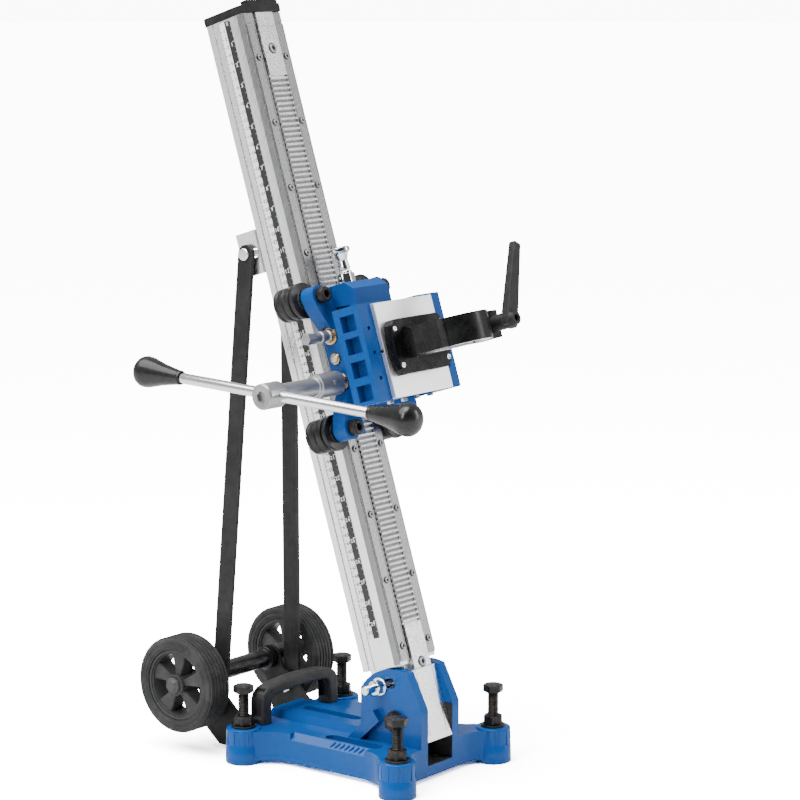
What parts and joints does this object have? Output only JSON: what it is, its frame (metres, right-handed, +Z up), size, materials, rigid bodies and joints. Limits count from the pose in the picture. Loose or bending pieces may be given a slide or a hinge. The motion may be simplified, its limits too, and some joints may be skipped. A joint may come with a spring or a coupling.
{
  "type": "core drill rig",
  "caption": "Diamond core drill stand: cast base on levelling screws, tilting rack column with scale, crank-driven roller carriage with neck clamp, rear struts and two transport wheels.",
  "frame": {"origin": "centre of the bounding box's underside, on the floor plane under the base", "axes": "+X towards the side away from the crank, +Y towards the wheels at the rear, +Z up; the drill hangs at the front, -Y"},
  "size_m": [0.316, 0.4732, 0.9141],
  "materials": {
    "base_paint": "glossy bright blue paint on a cast base",
    "black_hardware": "black oxide fasteners",
    "handle_plastic": "fine grained black plastic",
    "black_frame": "satin black powder coat",
    "tyre_rubber": "matte black solid rubber",
    "rim_plastic": "satin black moulded plastic",
    "hub_cap_plastic": "satin grey plastic",
    "plated_steel": "bright zinc plate",
    "column_aluminium": "bright drawn aluminium",
    "rack_steel": "ground steel",
    "cap_plastic": "matte black plastic",
    "scale_print": "printed scale tape, black and white",
    "carriage_paint": "satin bright blue paint on castings",
    "face_plate_silver": "machined pale face",
    "bronze": "plain bronze",
    "gear_steel": "machined steel",
    "dark_bolt": "dark oxide bolt heads",
    "roller_black": "satin black rollers",
    "chrome": "bright chrome plate",
    "grip_plastic": "glossy black grips",
    "collar_black": "satin black, bore bare metal",
    "lever_black": "matte black lever"
  },
  "bodies": {
    "base": {"base_casting": "base_paint", "lock_nut_front_left": "black_hardware", "lock_nut_front_right": "black_hardware", "lock_nut_rear_left": "black_hardware", "lock_nut_rear_right": "black_hardware", "carry_handle": "handle_plastic", "tilt_pivot_bolt": "black_hardware", "axle_bracket_left": "black_frame", "axle_bracket_right": "black_frame", "strut_foot_bolt_left": "plated_steel", "strut_foot_bolt_right": "plated_steel", "wheel_axle": "black_frame", "hub_cap_left": "hub_cap_plastic", "hub_cap_right": "hub_cap_plastic"},
    "levelling_front_left": {"levelling_screw_front_left": "black_hardware"},
    "levelling_front_right": {"levelling_screw_front_right": "black_hardware"},
    "levelling_rear_left": {"levelling_screw_rear_left": "black_hardware"},
    "levelling_rear_right": {"levelling_screw_rear_right": "black_hardware"},
    "column": {"column_extrusion": "column_aluminium", "column_foot": "column_aluminium", "tilt_clamp_bolt": "chrome", "rack_bar": "rack_steel", "guide_strip_left": "rack_steel", "guide_strip_right": "rack_steel", "column_cap": "cap_plastic", "scale_strip": "scale_print"},
    "saddle": {"strut_saddle": "column_aluminium"},
    "struts": {"strut_left": "black_frame", "strut_right": "black_frame", "strut_top_pin": "plated_steel"},
    "wheel_left": {"tyre_left": "tyre_rubber", "wheel_rim_left": "rim_plastic"},
    "wheel_right": {"tyre_right": "tyre_rubber", "wheel_rim_right": "rim_plastic"},
    "carriage": {"carriage_side_left": "carriage_paint", "carriage_side_right": "carriage_paint", "gear_housing": "carriage_paint", "carriage_face_plate": "face_plate_silver", "bushing_crank": "bronze", "bushing_idler": "bronze", "bushing_spindle": "bronze", "roller_bolt_lower_left": "dark_bolt", "roller_bolt_lower_right": "dark_bolt", "roller_bolt_upper_left": "dark_bolt", "roller_bolt_upper_right": "dark_bolt", "plunger_socket": "chrome", "drill_collar": "collar_black"},
    "crank": {"pinion_shaft": "gear_steel", "crank_hub": "chrome", "crank_arm": "chrome", "crank_grip_rear": "grip_plastic", "crank_grip_front": "grip_plastic"},
    "idler": {"idler_gear": "gear_steel"},
    "spindle": {"reserve_spindle": "gear_steel"},
    "roller_lower_left": {"roller_lower_left": "roller_black"},
    "roller_lower_right": {"roller_lower_right": "roller_black"},
    "roller_upper_left": {"roller_upper_left": "roller_black"},
    "roller_upper_right": {"roller_upper_right": "roller_black"},
    "plunger": {"lock_plunger": "chrome"},
    "lever": {"clamp_lever": "lever_black"}
  },
  "joints": [
    {"name": "levelling_front_left", "type": "slide", "parent": "base", "child": "levelling_front_left", "axis": [0, 0, 1], "range_m": [-0.02, 0.012]},
    {"name": "levelling_front_right", "type": "slide", "parent": "base", "child": "levelling_front_right", "axis": [0, 0, 1], "range_m": [-0.02, 0.012]},
    {"name": "levelling_rear_left", "type": "slide", "parent": "base", "child": "levelling_rear_left", "axis": [0, 0, 1], "range_m": [-0.02, 0.012]},
    {"name": "levelling_rear_right", "type": "slide", "parent": "base", "child": "levelling_rear_right", "axis": [0, 0, 1], "range_m": [-0.02, 0.012]},
    {"name": "column_tilt", "type": "hinge", "parent": "base", "child": "column", "pos_m": [0.031, -0.1015, 0.07], "axis": [-1, 0, 0], "range_deg": [-17.46, 12.5]},
    {"name": "saddle_travel", "type": "slide", "parent": "column", "child": "saddle", "axis": [0, 0.3001, 0.9539], "range_m": [-0.08, 0.06]},
    {"name": "strut_swing", "type": "hinge", "parent": "base", "child": "struts", "pos_m": [0.031, 0.14799, 0.052], "axis": [-1, 0, 0], "range_deg": [-19.5, 14.5]},
    {"name": "wheel_spin_left", "type": "hinge", "parent": "base", "child": "wheel_left", "pos_m": [-0.07, 0.177, 0.085], "axis": [1, 0, 0], "continuous": true},
    {"name": "wheel_spin_right", "type": "hinge", "parent": "base", "child": "wheel_right", "pos_m": [0.132, 0.177, 0.085], "axis": [1, 0, 0], "continuous": true},
    {"name": "carriage_travel", "type": "slide", "parent": "column", "child": "carriage", "axis": [0, 0.3001, 0.9539], "range_m": [-0.24, 0.3]},
    {"name": "crank_turn", "type": "hinge", "parent": "carriage", "child": "crank", "pos_m": [0.031, -0.02651, 0.47034], "axis": [1, 0, 0], "range_deg": [-860, 690]},
    {"name": "idler_turn", "type": "hinge", "parent": "carriage", "child": "idler", "pos_m": [0.031, -0.01811, 0.49705], "axis": [1, 0, 0], "range_deg": [-690, 860]},
    {"name": "spindle_turn", "type": "hinge", "parent": "carriage", "child": "spindle", "pos_m": [0.031, -0.00971, 0.52376], "axis": [1, 0, 0], "range_deg": [-860, 690]},
    {"name": "roller_turn_lower_left", "type": "hinge", "parent": "carriage", "child": "roller_lower_left", "pos_m": [-0.0248, -0.01387, 0.40723], "axis": [0, 0.9539, -0.3001], "range_deg": [-680, 845]},
    {"name": "roller_turn_lower_right", "type": "hinge", "parent": "carriage", "child": "roller_lower_right", "pos_m": [0.0868, -0.01387, 0.40723], "axis": [0, 0.9539, -0.3001], "range_deg": [-845, 680]},
    {"name": "roller_turn_upper_left", "type": "hinge", "parent": "carriage", "child": "roller_upper_left", "pos_m": [-0.0248, 0.03415, 0.55986], "axis": [0, 0.9539, -0.3001], "range_deg": [-680, 845]},
    {"name": "roller_turn_upper_right", "type": "hinge", "parent": "carriage", "child": "roller_upper_right", "pos_m": [0.0868, 0.03415, 0.55986], "axis": [0, 0.9539, -0.3001], "range_deg": [-845, 680]},
    {"name": "plunger_pull", "type": "slide", "parent": "carriage", "child": "plunger", "axis": [0, 0.3001, 0.9539], "range_m": [0, 0.008], "stiffness_N_per_m": 1500, "springref_m": -0.004},
    {"name": "lever_turn", "type": "hinge", "parent": "carriage", "child": "lever", "pos_m": [0.088, -0.17426, 0.54051], "axis": [0, 0.9539, -0.3001], "range_deg": [-60, 60]}
  ],
  "couplings": [
    {"joint": "saddle_travel", "follows": "column_tilt", "m_per_rad": 0.254},
    {"joint": "strut_swing", "follows": "column_tilt", "ratio": 1.073},
    {"joint": "crank_turn", "follows": "carriage_travel", "rad_per_m": -50},
    {"joint": "idler_turn", "follows": "carriage_travel", "rad_per_m": 50},
    {"joint": "spindle_turn", "follows": "carriage_travel", "rad_per_m": -50},
    {"joint": "roller_turn_lower_left", "follows": "carriage_travel", "rad_per_m": 48.78},
    {"joint": "roller_turn_lower_right", "follows": "carriage_travel", "rad_per_m": -48.78},
    {"joint": "roller_turn_upper_left", "follows": "carriage_travel", "rad_per_m": 48.78},
    {"joint": "roller_turn_upper_right", "follows": "carriage_travel", "rad_per_m": -48.78}
  ]
}
